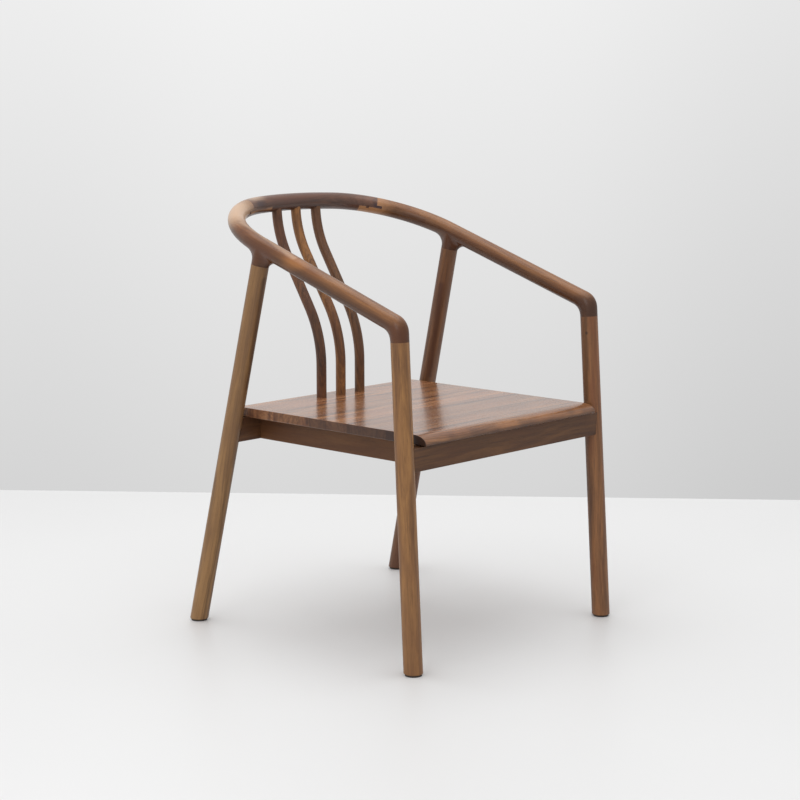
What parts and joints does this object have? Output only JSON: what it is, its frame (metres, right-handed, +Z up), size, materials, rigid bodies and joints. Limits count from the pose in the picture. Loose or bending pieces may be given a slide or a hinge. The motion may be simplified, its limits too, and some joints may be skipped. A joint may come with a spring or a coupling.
{
  "type": "horseshoe back armchair",
  "caption": "Low wooden armchair with one continuous inclined horseshoe rail on round raked posts, curved back spindles and a flat plank seat with a rolled front edge.",
  "frame": {"origin": "on the floor, below the middle of the chair's overall width and depth", "axes": "+Z up, the chair faces -Y, +X to the right as seen from the front"},
  "size_m": [0.6092, 0.6154, 0.8276],
  "materials": {
    "crest_wood": "oiled satin",
    "rail_wood": "oiled satin",
    "pin_wood": "oiled satin",
    "post_wood": "oiled satin",
    "foot_pad": "matte",
    "apron_wood": "oiled satin",
    "block_wood": "unfinished",
    "seat_wood": "oiled satin",
    "spindle_wood": "oiled satin",
    "screw_steel": "zinc plated"
  },
  "bodies": {
    "root": {"crest_rail": "crest_wood", "left_arm_rail": "rail_wood", "right_arm_rail": "rail_wood", "scarf_pins": "pin_wood", "front_left_leg": "post_wood", "front_right_leg": "post_wood", "rear_left_leg": "post_wood", "rear_right_leg": "post_wood", "front_left_foot_pad": "foot_pad", "front_right_foot_pad": "foot_pad", "rear_left_foot_pad": "foot_pad", "rear_right_foot_pad": "foot_pad", "front_apron": "apron_wood", "rear_apron": "apron_wood", "left_side_apron": "apron_wood", "right_side_apron": "apron_wood", "front_left_corner_block": "block_wood", "front_right_corner_block": "block_wood", "rear_left_corner_block": "block_wood", "rear_right_corner_block": "block_wood", "front_seat_board": "seat_wood", "seat_board_2": "seat_wood", "seat_board_3": "seat_wood", "seat_board_4": "seat_wood", "rear_seat_board": "seat_wood", "left_spindle": "spindle_wood", "centre_spindle": "spindle_wood", "right_spindle": "spindle_wood", "apron_screws": "screw_steel", "seat_screws": "screw_steel"}
  },
  "joints": []
}
